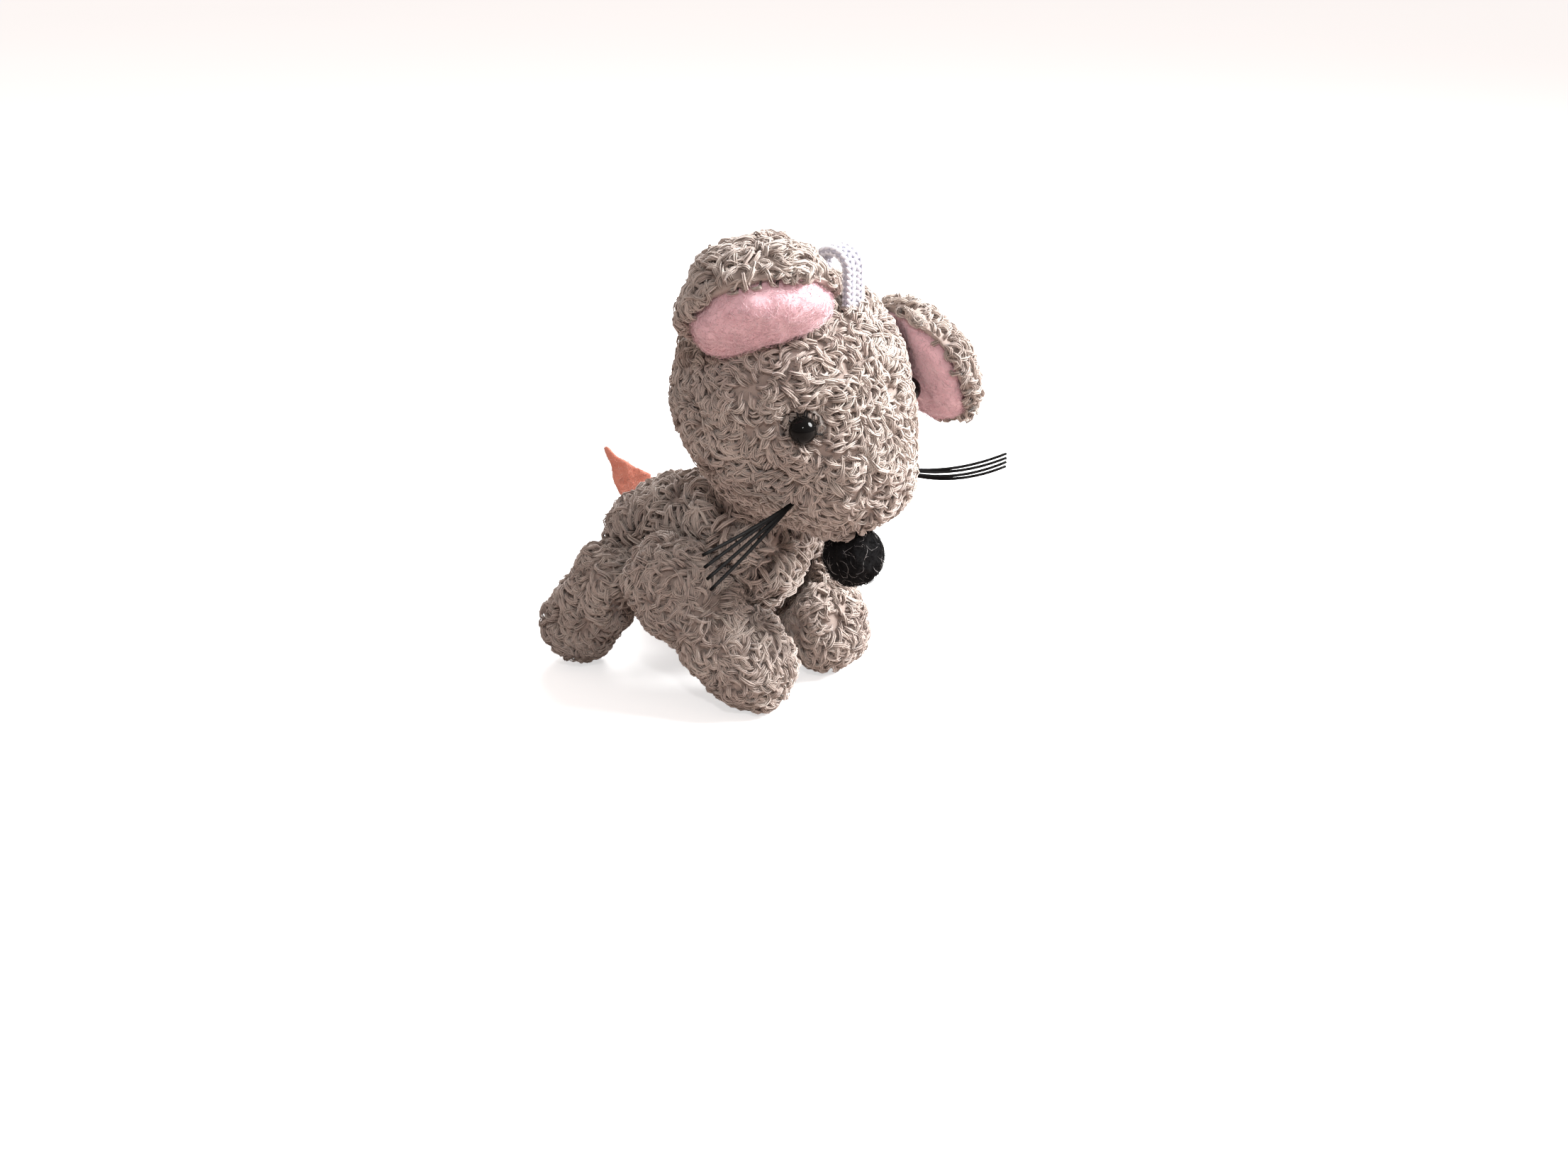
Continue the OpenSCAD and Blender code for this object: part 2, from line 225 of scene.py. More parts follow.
def wrapped(names, detail):
    """A skin that falls from all round onto several CAD nodes, towards their middle."""
    tree = tree_of(*names)
    points = np.concatenate([node_points(n) for n in names])
    centre = (points.min(0) + points.max(0)) / 2
    reach = np.linalg.norm(points - centre, axis=1).max() * 1.5
    ball = bmesh.new()
    bmesh.ops.create_icosphere(ball, subdivisions=detail, radius=1)
    directions = unit(np.array([v.co for v in ball.verts]))
    triangles = np.array([[v.index for v in f.verts] for f in ball.faces])
    ball.free()
    hits = []
    for d in directions:
        hit = tree.ray_cast(Vector(centre + d * reach), Vector(-d))[0]
        hits.append(centre if hit is None else np.array(hit))
    return Surface(hits, triangles)


def remeshed(name, voxel):
    """A CAD node's closed solid as even triangles."""
    source = bpy.data.objects.new("remesh", NODES[name].data.copy())
    bpy.context.scene.collection.objects.link(source)
    modifier = source.modifiers.new("voxels", "REMESH")
    modifier.mode = "VOXEL"
    modifier.voxel_size = voxel
    graph = bpy.context.evaluated_depsgraph_get()
    mesh = bpy.data.meshes.new_from_object(source.evaluated_get(graph))
    points, triangles = mesh_arrays(mesh)
    bpy.data.objects.remove(source)
    bpy.data.meshes.remove(mesh)
    return Surface(points, triangles)


# ---- Strands ----
def strands(paths, sideways, radii, uv, sides=3):
    """Tubes along many paths: points, triangles and map places.

    paths and sideways are [strands, rings, 3], radii is [strands, rings], uv is [strands, rings, 2].
    """
    count, rings, _ = paths.shape
    along = unit(np.gradient(paths, axis=1))
    across = tangent(sideways, along)
    up = np.cross(along, across)
    angles = np.arange(sides) * 2 * math.pi / sides
    spokes = (np.cos(angles)[:, None] * across[:, :, None, :]
              + np.sin(angles)[:, None] * up[:, :, None, :])
    points = paths[:, :, None, :] + radii[:, :, None, None] * spokes
    places = np.repeat(uv[:, :, None, :], sides, axis=2)
    # Each side has its own width on the map
    places[..., 0] += 0.006 * np.arange(sides)
    index = np.arange(count * rings * sides).reshape(count, rings, sides)
    a, b = index[:, :-1], index[:, 1:]
    a_next, b_next = np.roll(a, -1, axis=2), np.roll(b, -1, axis=2)
    walls = [np.stack([a, a_next, b_next], -1), np.stack([a, b_next, b], -1)]
    caps = []
    for k in range(1, sides - 1):
        caps.append(np.stack([index[:, 0, 0], index[:, 0, k + 1], index[:, 0, k]], -1))
        caps.append(np.stack([index[:, -1, 0], index[:, -1, k], index[:, -1, k + 1]], -1))
    triangles = np.concatenate([w.reshape(-1, 3) for w in walls] + caps)
    return points.reshape(-1, 3), triangles, places.reshape(-1, 2)


def strand_places(tones, s):
    """Map places of strands: each strand's tone across, and root to tip up."""
    across = np.repeat(tones[:, None], len(s), 1)
    up = np.repeat(0.02 + 0.96 * s[None, :], len(tones), 0)
    return np.stack([across, up], -1)


def walk(tree, roots, headings, turn, step, rings):
    """Paths that wander over a surface from their roots: [paths, rings, 3] points and normals."""
    points = np.empty((len(roots), rings, 3))
    normals = np.empty_like(points)
    for i, (root, heading) in enumerate(zip(roots, headings)):
        place, normal, _, _ = tree.find_nearest(Vector(root))
        way = Vector(heading)
        for k in range(rings):
            points[i, k] = place
            normals[i, k] = normal
            way = (Matrix.Rotation(turn[i] / rings, 3, normal) @ way)
            way = (way - way.dot(normal) * normal).normalized()
            place, normal, _, _ = tree.find_nearest(place + way * step[i])
    return points, normals


def coat(surface, density, seed, length=LOCK_LENGTH, lift=LOCK_LIFT, comb=0.35, comb_way=DOWN,
         keep=None, part_from=(), strand_count=5, rings=6):
    """Curly locks over a surface. Returns their points, triangles, places and root triangles."""
    rng = np.random.default_rng(seed)
    roots, owner = surface.scatter(density, rng)
    if keep is not None:
        kept = keep(roots)
        roots, owner = roots[kept], owner[kept]
    count = len(roots)
    normals = surface.normals()[surface.triangles[owner, 0]]
    swirl = waves(roots, 8 * MM, seed + 1, channels=3)
    scatter = rng.normal(size=(count, 3))
    headings = swirl + comb * comb_way + 0.5 * scatter
    lengths = length * rng.uniform(0.65, 1.25, count)
    # Locks part from round the eyes and the nose, and are clipped shorter there
    for spot, reach in part_from:
        away = roots - spot
        near = np.exp(-((np.linalg.norm(away, axis=1) / reach) ** 2))
        headings = headings + 6 * near[:, None] * unit(away)
        lengths = lengths * (1 - 0.55 * near)
    headings = tangent(headings, normals)
    curl = waves(roots, 5 * MM, seed + 2)[:, 0] * 1.6 + rng.normal(size=count) * 1.1
    middle, out = walk(surface.tree(), roots, headings, curl, lengths / (rings - 1), rings)
    s = np.linspace(0, 1, rings)
    # A lock comes out of the cloth, arches over and lays its tip down
    arch = np.sin(math.pi * s ** 0.75) * (1 - 0.25 * s) + 0.3 * s
    height = lift * rng.uniform(0.45, 1.35, count)
    middle += out * (height[:, None] * arch[None, :] - 0.25 * MM * (1 - s)[None, :])[:, :, None]
    along = unit(np.gradient(middle, axis=1))
    side = tangent(np.cross(out, along), along)
    over = np.cross(along, side)
    twist = rng.uniform(-1, 1, count) * 2.6
    start = rng.uniform(0, 2 * math.pi, count)
    paths, sideways, radii, places = [], [], [], []
    drift = 0.13 * waves(roots, 9 * MM, seed + 3)[:, 0]
    tone = np.clip(0.5 + drift + rng.normal(size=count) * 0.15, 0.04, 0.9)
    for k in range(strand_count):
        angle = start[:, None] + 2 * math.pi * k / strand_count + twist[:, None] * s[None, :]
        spread = STRAND_RADIUS * (1.7 + 0.9 * s - 1.5 * s ** 2)[None, :] * rng.uniform(0.7, 1.4, (count, 1))
        offset = (np.cos(angle) * spread)[:, :, None] * side + (np.sin(angle) * spread)[:, :, None] * over
        # Strands part a little and end unevenly
        stray = rng.normal(size=(count, 1, 3)) * (s ** 1.5)[None, :, None] * 0.17 * MM
        paths.append(middle + offset + stray)
        sideways.append(side)
        taper = (0.75 + 0.55 * np.sin(math.pi * s ** 0.8) - 0.5 * s ** 3)[None, :]
        radii.append(STRAND_RADIUS * taper * rng.uniform(0.8, 1.15, (count, 1)))
        u = np.clip(tone + rng.uniform(-0.09, 0.09, count), 0.02, 0.96)
        places.append(strand_places(u, s))
    points, triangles, uv = strands(*(np.concatenate(x) for x in (paths, sideways, radii, places)))
    points[:, 2] = np.maximum(points[:, 2], FUR_FLOOR)
    lock_of = np.tile(np.arange(count), strand_count)
    return points, triangles, uv, lock_of, owner, rings * 3


# ---- Materials ----
def material(name):
    made = bpy.data.materials.new(name)
    made.use_nodes = True
    return made, made.node_tree, made.node_tree.nodes["Principled BSDF"]


def node(tree, kind, **values):
    """A shader node with its properties and input values set."""
    made = tree.nodes.new(kind)
    for key, value in values.items():
        if hasattr(made, key):
            setattr(made, key, value)
        else:
            made.inputs[key.replace("_", " ")].default_value = value
    return made


def ramp(tree, stops):
    made = tree.nodes.new("ShaderNodeValToRGB")
    elements = made.color_ramp.elements
    while len(elements) < len(stops):
        elements.new(0.5)
    for element, (place, colour) in zip(elements, stops):
        element.position = place
        element.color = (*colour, 1)
    return made


def lock_material(name, dark, middle, light, root, sheen=0.35):
    """Yarn: its tone runs across the map, and painted shade runs up it, darker at each strand's root and a
    little lighter at its tip.
    """
    made, tree, shader = material(name)
    link = tree.links.new
    place = node(tree, "ShaderNodeUVMap", uv_map="OFBake")
    split = tree.nodes.new("ShaderNodeSeparateXYZ")
    link(place.outputs["UV"], split.inputs[0])
    tone = ramp(tree, [(0.0, dark), (0.5, middle), (1.0, light)])
    link(split.outputs["X"], tone.inputs[0])
    # Single fibres show as fine streaks along each strand
    stretch = node(tree, "ShaderNodeMapping")
    stretch.inputs["Scale"].default_value = (420, 5, 1)
    link(place.outputs["UV"], stretch.inputs[0])
    streak = node(tree, "ShaderNodeTexNoise", Scale=1.0, Detail=3.0)
    link(stretch.outputs[0], streak.inputs["Vector"])
    streak_tone = ramp(tree, [(0.3, (0.85, 0.84, 0.84)), (0.7, (1.08, 1.08, 1.08))])
    link(streak.outputs[0], streak_tone.inputs[0])
    # Painted shade: strands darken towards their roots, deep in the coat, and lighten a little at their tips
    shade = ramp(tree, [(0.0, root), (0.28, (0.88, 0.86, 0.86)), (0.6, (1, 1, 1)), (1.0, (1.06, 1.06, 1.06))])
    link(split.outputs["Y"], shade.inputs[0])
    first = node(tree, "ShaderNodeMix", data_type="RGBA", blend_type="MULTIPLY")
    second = node(tree, "ShaderNodeMix", data_type="RGBA", blend_type="MULTIPLY")
    for mix, a, b in ((first, tone, streak_tone), (second, first, shade)):
        mix.inputs[0].default_value = 1
        link(a.outputs[2 if a is first else 0], mix.inputs[6])
        link(b.outputs[0], mix.inputs[7])
    link(second.outputs[2], shader.inputs["Base Color"])
    shader.inputs["Roughness"].default_value = 0.85
    shader.inputs["Sheen Weight"].default_value = sheen
    shader.inputs["Sheen Roughness"].default_value = 0.5
    shader.inputs["Specular IOR Level"].default_value = 0.2
    return made


def cloth_material(name, low, high, scale, bump=0.3, sheen=0.4, roughness=0.9):
    """Cloth or felt: two blended sizes of mottling and a fine fibrous bump."""
    made, tree, shader = material(name)
    link = tree.links.new
    where = tree.nodes.new("ShaderNodeTexCoord")
    coarse = node(tree, "ShaderNodeTexNoise", Scale=scale, Detail=5.0, Roughness=0.65)
    fine = node(tree, "ShaderNodeTexNoise", Scale=scale * 9, Detail=4.0, Roughness=0.7, Distortion=1.2)
    for texture in (coarse, fine):
        link(where.outputs["Object"], texture.inputs["Vector"])
    mix = node(tree, "ShaderNodeMix", data_type="FLOAT")
    mix.inputs[0].default_value = 0.5
    link(coarse.outputs[0], mix.inputs[2])
    link(fine.outputs[0], mix.inputs[3])
    tone = ramp(tree, [(0.32, low), (0.68, high)])
    link(mix.outputs[0], tone.inputs[0])
    link(tone.outputs[0], shader.inputs["Base Color"])
    relief = node(tree, "ShaderNodeBump", Strength=bump)
    relief.inputs["Distance"].default_value = 0.15 * MM
    link(fine.outputs[0], relief.inputs["Height"])
    link(relief.outputs[0], shader.inputs["Normal"])
    shader.inputs["Roughness"].default_value = roughness
    shader.inputs["Sheen Weight"].default_value = sheen
    shader.inputs["Specular IOR Level"].default_value = 0.2
    return made


# The last colour of each yarn material is the painted shade at its strands' roots
FUR = lock_material(
    "boucle locks", (0.47, 0.39, 0.35), (0.57, 0.49, 0.44), (0.68, 0.61, 0.55), (0.60, 0.53, 0.51))
# Cloth under the locks: the backing's own taupe, made darker still as painted shade in the gaps between locks
SKIN_AND_GAP_SHADE = cloth_material("boucle cloth with painted gap shade", (0.33, 0.26, 0.23), (0.46, 0.38, 0.34), 260)
FLEECE = cloth_material("pink fleece", (0.84, 0.52, 0.58), (0.92, 0.64, 0.70), 300, bump=0.5, sheen=0.6)
FLEECE_HAIR = lock_material(
    "pink fibres", (0.86, 0.56, 0.62), (0.92, 0.66, 0.72), (0.96, 0.76, 0.80), (0.94, 0.91, 0.91))
WOOL_BLACK = cloth_material(
    "black wool felt", (0.002, 0.002, 0.002), (0.006, 0.006, 0.007), 700, bump=0.8, sheen=0)
WOOL_HAIR = lock_material(
    "wool fibres", (0.002, 0.002, 0.003), (0.007, 0.007, 0.008), (0.6, 0.58, 0.57), (0.9, 0.9, 0.9), 0)
CORAL = cloth_material("coral felt", (0.82, 0.27, 0.19), (0.92, 0.40, 0.30), 500, bump=0.6, sheen=0.5)
CORAL_HAIR = lock_material(
    "coral fibres", (0.84, 0.30, 0.21), (0.92, 0.42, 0.32), (0.97, 0.60, 0.50), (0.95, 0.9, 0.9))
THREAD = cloth_material("joint thread", (0.45, 0.38, 0.33), (0.66, 0.58, 0.52), 1500)
BLACK_THREAD = cloth_material("black thread", (0.006, 0.006, 0.006), (0.03, 0.03, 0.03), 2500, sheen=0.2)
FILLING = cloth_material("fibre filling", (0.72, 0.70, 0.66), (0.92, 0.90, 0.87), 400)
TAPE = cloth_material("white elastic yarn", (0.62, 0.62, 0.70), (0.80, 0.80, 0.85), 900, bump=0.3, sheen=0.1)
# The core is a darker, bluer copy of the white yarn: painted shade between the stitches
TAPE_CORE_SHADE = cloth_material("elastic core with painted gap shade", (0.40, 0.40, 0.48), (0.52, 0.52, 0.60), 900, bump=0.3, sheen=0)


def gloss_material(name, colour, roughness, scale, index):
    """Hard black surface with faint smears in its gloss."""
    made, tree, shader = material(name)
    link = tree.links.new
    where = tree.nodes.new("ShaderNodeTexCoord")
    smear = node(tree, "ShaderNodeTexNoise", Scale=scale, Detail=3.0)
    link(where.outputs["Object"], smear.inputs["Vector"])
    spread = node(tree, "ShaderNodeMapRange")
    spread.inputs["To Min"].default_value = roughness * 0.6
    spread.inputs["To Max"].default_value = roughness * 1.5
    link(smear.outputs[0], spread.inputs["Value"])
    link(spread.outputs[0], shader.inputs["Roughness"])
    tone = ramp(tree, [(0.3, colour), (0.7, tuple(c * 1.6 for c in colour))])
    link(smear.outputs[0], tone.inputs[0])
    link(tone.outputs[0], shader.inputs["Base Color"])
    shader.inputs["IOR"].default_value = index
    return made


BEAD = gloss_material("black bead", (0.003, 0.003, 0.003), 0.05, 400, 1.26)
BRISTLE = gloss_material("black bristle", (0.004, 0.004, 0.004), 0.6, 900, 1.15)


# ---- Furred parts ----
def split_owner(surface, panels):
    """Which CAD panel each triangle belongs to, and how far each vertex is from a panel seam."""
    trees = [tree_of(p) for p in panels]
    gaps = np.array([[t.find_nearest(Vector(p))[3] for p in surface.points] for t in trees])
    owner = gaps[:, surface.triangles].mean(2).argmin(0)
    return owner, np.sort(gaps, axis=0)[1]


def sub_mesh(points, triangles, uv, chosen):
    """The part of a mesh that some of its triangles use."""
    used, index = np.unique(triangles[chosen], return_inverse=True)
    return points[used], index.reshape(-1, 3), None if uv is None else uv[used]


def furred(surface, panels, body, seed, filling=None, **coat_options):
    """Skin and locks of one stuffed part, one piece of each per sewn panel, over its filling."""
    owner = np.zeros(len(surface.triangles), int)
    if len(panels) > 1:
        owner, seam_gap = split_owner(surface, panels)
        surface.swell(-SEAM_DEPTH * np.exp(-((seam_gap / SEAM_WIDTH) ** 2)))
    surface.keep_above(SKIN_FLOOR)
    if filling:
        core = Surface(surface.points, surface.triangles).swell(-FILLING_DEPTH)
        core.keep_above(SKIN_FLOOR * 2)
        core_mesh = mesh_from(filling, core.points, core.triangles)
        stuffed = piece(filling + "_fill", core_mesh, body, FILLING)
        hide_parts(filling)
    points, triangles, uv, lock_of, root, per_strand = coat(surface, seed=seed, **coat_options)
    strand_of = triangles[:, 0] // per_strand
    strand_owner = owner[root[lock_of]]
    triangle_owner = strand_owner[strand_of]
    for k, cad_node in enumerate(panels):
        skin_points, skin_triangles, _ = sub_mesh(surface.points, surface.triangles, None, owner == k)
        skin_mesh = mesh_from(cad_node, skin_points, skin_triangles)
        # The cloth shows between the locks, darkened as painted shade
        skin = piece(cad_node + "_cloth", skin_mesh, body, SKIN_AND_GAP_SHADE)
        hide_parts(cad_node)
        chosen = triangle_owner == k
        parts = math.ceil(chosen.sum() / PIECE_FACES)
        for part in range(parts):
            name = cad_node + "_curls" + ("" if part == 0 else f"_{part + 1}")
            curls = sub_mesh(points, triangles, uv, chosen & (lock_of[strand_of] % parts == part))
            piece(name, mesh_from(name, *curls), body, FUR)


DENSITY = LOCKS_PER_MM2 / MM ** 2 * 1


def away_from(places, radius):
    """A test that keeps locks off round patches."""
    spots = np.array(places)
    radii = np.broadcast_to(radius, len(spots))

    def kept(roots):
        gaps = np.linalg.norm(roots[:, None] - spots[None], axis=2)
        return np.all(gaps > radii, axis=1)
    return kept


def middle_of(name):
    low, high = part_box(name)
    return np.array((low + high) / 2)


# Way that the left cheek faces, and how far each bead is pulled in past its CAD place
LEFT_CHEEK = np.array([0.616, -0.788, 0.0])
EYE_PULL = {"right": 0.5 * MM, "left": 1.7 * MM}


def eye_centre(side):
    centre = middle_of("eye_" + side)
    return centre - EYE_PULL[side] * unit(centre - middle_of("head_stuffing"))


def make_head():
    panels = ["head_side_right", "head_side_left", "head_gusset"]
    surface = wrapped(panels + ["head_stuffing"], 6).smooth(2)
    surface.swell(0.3 * MM * waves(surface.points, 12 * MM, 5)[:, 0] - CLOTH_INSET)
    # The left cheek is stuffed a little less than the right one
    surface.swell(-1.5 * MM * np.clip(surface.normals() @ LEFT_CHEEK, 0, 1) ** 2)
    eyes = [eye_centre("right"), eye_centre("left")]
    for eye in eyes:
        gap = np.linalg.norm(surface.points - eye, axis=1)
        surface.swell(-0.9 * MM * np.exp(-((gap / (3.4 * MM)) ** 2)))
    nose = middle_of("nose_ball")
    gap = np.linalg.norm(surface.points - nose, axis=1)
    surface.swell(-1.3 * MM * np.exp(-((gap / (6.2 * MM)) ** 2)))
    spots = eyes + [nose]
    furred(surface, panels, "head", 11, filling="head_stuffing", density=DENSITY,
           keep=away_from(spots, np.array([2.5, 2.2, 5.1]) * MM),
           part_from=[(eyes[0], 3.0 * MM), (eyes[1], 2.0 * MM), (nose, 6.6 * MM)])


def make_trunk():
    panels = ["body_side_right", "body_side_left", "belly_gusset"]
    surface = wrapped(panels + ["body_stuffing", "shoulder_thread", "hip_thread"], 5).smooth(2)
    surface.swell(0.25 * MM * waves(surface.points, 10 * MM, 6)[:, 0] - 0.3 * MM)
    furred(surface, panels, "trunk", 21, filling="body_stuffing", density=DENSITY,
           length=4.4 * MM, lift=2 * MM)


def make_neck():
    surface = wrapped(["neck_plug"], 4)
    furred(surface, ["neck_plug"], "neck", 31, density=DENSITY * 0.8, lift=1.2 * MM, length=3.8 * MM)


def make_leg(body, seed):
    skin, filling = body + "_skin", body + "_stuffing"
    surface = wrapped([skin, filling], 5).smooth(3)
    surface.swell(0.3 * MM * waves(surface.points, 9 * MM, seed)[:, 0] - CLOTH_INSET)
    furred(surface, [skin], body, seed, filling=filling, density=DENSITY)


def make_ear(side, bare, seed):
    back, lining = f"ear_{side}_back", f"ear_{side}_lining"
    surface = remeshed(back, 0.55 * MM).smooth(3)
    surface.swell(0.2 * MM * waves(surface.points, 7 * MM, seed)[:, 0] - 0.45 * MM)
    # The furry back stops short of the cup's mouth, so that its lining stands clear
    mouth = unit(node_points(lining).mean(0) - node_points(back).mean(0))
    depth = surface.points @ mouth
    rim = np.clip((depth - depth.max() + 6 * MM) / (6 * MM), 0, 1)
    surface.points -= mouth * (bare * rim ** 2)[:, None]
    fleece_tree = tree_of(lining)

    def off_fleece(roots):
        return np.array([fleece_tree.find_nearest(Vector(r))[3] > 1.3 * MM for r in roots])
    furred(surface, [back], f"ear_{side}", seed, density=DENSITY, keep=off_fleece, comb=0.6,
           length=3.6 * MM)
    make_fleece(side, seed + 5)


def fibres(surface, density, seed, length, radius, lift, curl=1.2, tones=(0.1, 0.9), flow=0.6, rings=4):
    """Fine single hairs that lie on a surface."""
    rng = np.random.default_rng(seed)
    roots, owner = surface.scatter(density, rng)
    count = len(roots)
    normals = surface.normals()[surface.triangles[owner, 0]]
    swirl = flow * waves(roots, 6 * MM, seed + 1, channels=3)
    headings = tangent(swirl + rng.normal(size=(count, 3)), normals)
    lengths = length * rng.uniform(0.5, 1.5, count)
    turns = rng.normal(size=count) * curl
    paths, out = walk(surface.tree(), roots, headings, turns, lengths / (rings - 1), rings)
    s = np.linspace(0, 1, rings)
    heights = lift * rng.uniform(0.1, 1, count) ** 2
    arch = np.sin(math.pi * s ** 0.8) + 0.6 * s
    paths += out * (heights[:, None] * arch[None, :] - 0.05 * MM * (1 - s)[None, :])[:, :, None]
    sideways = np.cross(out, unit(np.gradient(paths, axis=1)))
    radii = radius * (1 - 0.6 * s[None, :] ** 2) * rng.uniform(0.7, 1.2, (count, 1))
    u = rng.uniform(tones[0], tones[1], count)
    uv = strand_places(u, s)
    points, triangles, places = strands(paths, sideways, radii, uv)
    points[:, 2] = np.maximum(points[:, 2], FUR_FLOOR)
    return points, triangles, places


def make_fleece(side, seed):
    """Puffed pink lining of an ear, with its brushed surface."""
    name, body = f"ear_{side}_lining", f"ear_{side}"
    surface = remeshed(name, 0.5 * MM).smooth(6)
    surface.swell(0.5 * MM + 0.15 * MM * waves(surface.points, 5 * MM, seed)[:, 0])
    pad_mesh = mesh_from(name, surface.points, surface.triangles)
    pad = piece(name + "_fleece", pad_mesh, body, FLEECE)
    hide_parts(name)
    hair = fibres(surface, 7 / MM ** 2 * (1), seed, 1.5 * MM, 0.035 * MM, 0.5 * MM)
    piece(name + "_fibres", mesh_from(name + "_fibres", *hair), body, FLEECE_HAIR)


# ---- Face ----
# Move of the nose felt from its CAD place
NOSE_SHIFT = np.array([-0.5, 0.2, 0.7]) * MM


def make_nose():
    surface = wrapped(["nose_ball"], 5)
    surface.points += NOSE_SHIFT
    surface.swell(0.12 * MM * waves(surface.points, 2.2 * MM, 41)[:, 0]
                  + 0.06 * MM * waves(surface.points, 0.9 * MM, 42)[:, 0])
    felt_mesh = mesh_from("nose", surface.points, surface.triangles)
    ball = piece("nose_ball_felt", felt_mesh, "head", WOOL_BLACK)
    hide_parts("nose_ball")
    dark = fibres(surface, 5 / MM ** 2, 43, 2.2 * MM, 0.035 * MM, 0.35 * MM,
                  curl=2.5, tones=(0.05, 0.5), rings=5)
    piece("nose_ball_fibres", mesh_from("nose_fibres", *dark), "head", WOOL_HAIR)
    pale = fibres(surface, 0.5 / MM ** 2, 44, 3.0 * MM, 0.028 * MM, 0.3 * MM,
                  curl=3, tones=(0.75, 0.98), rings=6)
    piece("nose_ball_pale_fibres", mesh_from("nose_pale", *pale), "head", WOOL_HAIR)


def make_eye(side, seed):
    """Bead and the stitches round it."""
    name = "eye_" + side
    centre = eye_centre(side)
    low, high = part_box(name)
    radius = (high.z - low.z) / 2
    profile = []
    steps = 24
    for k in range(steps + 1):
        angle = math.pi * k / steps
        profile.append((radius * math.sin(angle), radius * math.cos(angle)))
    rows = np.array(profile)
    turns = np.arange(48) * 2 * math.pi / 48
    ring = np.stack([np.cos(turns), np.sin(turns)], -1)
    grid = np.concatenate([rows[:, None, :1] * ring[None], np.repeat(rows[:, None, 1:], 48, 1)], -1)
    grid = grid[1:-1].reshape(-1, 3)
    inner = steps - 1
    index = np.arange(inner * 48).reshape(inner, 48)
    a, b = index[:-1], index[1:]
    walls = [np.stack([a, b, np.roll(b, -1, 1)], -1), np.stack([a, np.roll(b, -1, 1), np.roll(a, -1, 1)], -1)]
    poles = np.array([[0, 0, radius], [0, 0, -radius]])
    top, bottom = len(grid), len(grid) + 1
    first, last = index[0], index[-1]
    caps = [np.stack([np.full(48, top), first, np.roll(first, -1)], -1),
            np.stack([np.full(48, bottom), np.roll(last, -1), last], -1)]
    faces = np.concatenate([w.reshape(-1, 3) for w in walls] + caps)
    bead = piece(name + "_bead", mesh_from(name, np.concatenate([grid, poles]) + centre, faces),
                 "head", BEAD)
    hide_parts(name)
    # Stitches leave the bead's foot and dive into the cloth beside it
    rng = np.random.default_rng(seed)
    outward = unit(centre - middle_of("head_stuffing"))
    paths = []
    for k in range(7):
        angle = rng.uniform(0, 2 * math.pi)
        side_way = tangent(rng.normal(size=3)[None], outward[None])[0]
        start = centre + side_way * radius * 0.85 - outward * radius * 0.25
        end = centre + side_way * radius * rng.uniform(1.25, 1.6) - outward * radius * 0.75
        lift = outward * 0.3 * MM * abs(math.sin(angle))
        s = np.linspace(0, 1, 5)[:, None]
        paths.append(start * (1 - s) + end * s + lift * np.sin(math.pi * s))
    paths = np.array(paths)
    sideways = np.broadcast_to(outward, paths.shape)
    uv = np.full(paths.shape[:2] + (2,), 0.5)
    stitches = strands(paths, sideways, np.full(paths.shape[:2], 0.14 * MM), uv, sides=6)
    stitch_mesh = mesh_from(name + "_stitches", *stitches[:2])
    piece(name + "_stitches", stitch_mesh, "head", BLACK_THREAD)


def bristle_lines(name):
    """Root and tips of a CAD whisker tuft."""
    points = node_points(name)
    head = middle_of("head_stuffing")
    near = points[np.linalg.norm(points - head, axis=1).argmin()]
    root = points[np.linalg.norm(points - near, axis=1) < 1.2 * MM].mean(0)
    reach = np.linalg.norm(points - root, axis=1)
    left = points[reach > 0.97 * reach.max()]
    tips = []
    while len(left):
        close = np.linalg.norm(left - left[0], axis=1) < 0.65 * MM
        tips.append(left[close].mean(0))
        left = left[~close]
    return root, np.array(tips)


def make_whiskers(side, bend, gather, radius, seed):
    name = "whiskers_" + side
    root, tips = bristle_lines(name)
    tips = tips.mean(0) + (tips - tips.mean(0)) * gather
    rng = np.random.default_rng(seed)
    order = np.argsort(tips[:, 2])
    rings = 18
    s = np.linspace(0, 1, rings)[:, None]
    paths = []
    for rank, k in enumerate(order):
        tip = tips[k]
        start = root + rng.normal(size=3) * 0.15 * MM
        curve = np.array([0, 0, 1.0]) * bend[rank % len(bend)] * MM
        paths.append(start * (1 - s) + tip * s + curve * (s ** 2 - s))
    paths = np.array(paths)
    radii = np.repeat(radius * (1 - 0.2 * s[:, 0])[None], len(paths), 0)
    sideways = np.broadcast_to(np.array([0.0, 0.0, 1.0]), paths.shape)
    uv = np.zeros(paths.shape[:2] + (2,))
    points, triangles, _ = strands(paths, sideways, radii, uv, sides=10)
    tuft = piece(name + "_bristles", mesh_from(name, points, triangles), "head", BRISTLE)
    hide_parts(name)


# ---- Hang loop ----
TAPE_THICKNESS = 1.1 * MM
STITCH_ROW = 0.95 * MM


